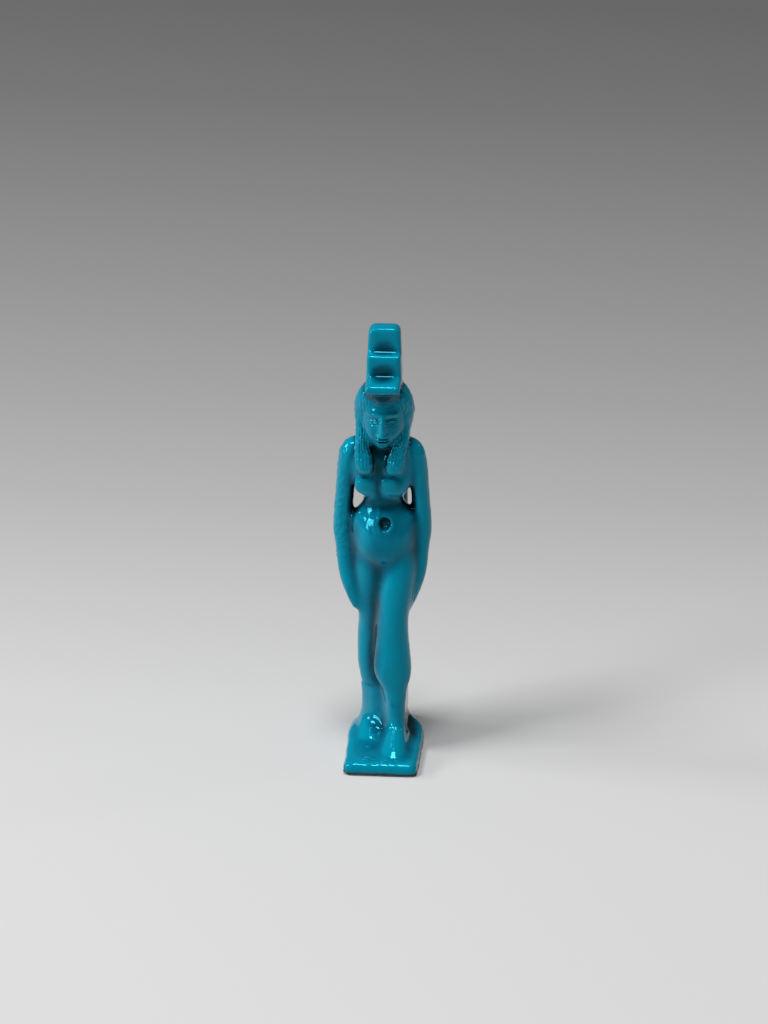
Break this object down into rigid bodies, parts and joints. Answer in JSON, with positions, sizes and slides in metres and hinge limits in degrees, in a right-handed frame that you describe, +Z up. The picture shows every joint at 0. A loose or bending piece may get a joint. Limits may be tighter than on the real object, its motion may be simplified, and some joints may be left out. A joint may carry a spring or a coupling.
{
  "type": "egyptian goddess amulet",
  "caption": "Small glazed faience amulet of a standing goddess with a throne-shaped headdress, one foot forward on a thin base, with a pierced back pillar.",
  "frame": {"origin": "middle of the flat underside of the base", "axes": "+Z up from the base to the throne, the goddess faces -Y, +X at her left hand"},
  "size_m": [0.0123, 0.0169, 0.0567],
  "materials": {
    "blue_glaze": "glossy turquoise-blue faience glaze, darker where it pools, bare dark paste round the underside"
  },
  "bodies": {
    "root": {"faience_amulet": "blue_glaze"}
  },
  "joints": []
}
